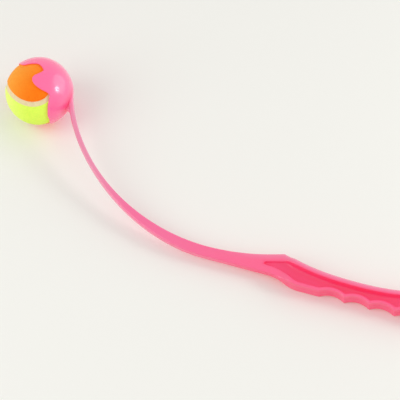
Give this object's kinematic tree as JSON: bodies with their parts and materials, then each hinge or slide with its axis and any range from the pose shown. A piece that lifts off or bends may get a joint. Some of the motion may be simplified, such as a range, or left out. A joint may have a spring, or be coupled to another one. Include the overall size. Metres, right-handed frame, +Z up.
{
  "type": "ball launcher",
  "caption": "Hand-held ball thrower: a clawed cup on a curved springy arm, a handle with finger grooves and side pockets, and the hollow felt ball that the cup grips.",
  "frame": {"origin": "middle of the bounding box at the surface that the launcher lies on", "axes": "+X from the ball towards the handle's end, +Y towards the back of the arm, +Z up; the launcher lies on its side, on its cup and the finger edge of its handle"},
  "size_m": [0.485, 0.1062, 0.0697],
  "materials": {
    "pink_plastic": "satin moulded polypropylene with a fine polish",
    "orange_felt": "brushed woven felt",
    "yellow_felt": "brushed woven felt",
    "cream_cement": "matte rubber cement",
    "grey_rubber": "matte pressed rubber"
  },
  "bodies": {
    "launcher": {"launcher_moulding": "pink_plastic"},
    "ball": {"ball_core_half_a": "grey_rubber", "ball_core_half_b": "grey_rubber", "ball_felt_orange": "orange_felt", "ball_felt_yellow": "yellow_felt", "ball_seam": "cream_cement"}
  },
  "joints": [
    {"name": "ball_release", "type": "slide", "parent": "launcher", "child": "ball", "axis": [-0.5192, -0.8425, -0.1436], "range_m": [0, 0.04]}
  ]
}
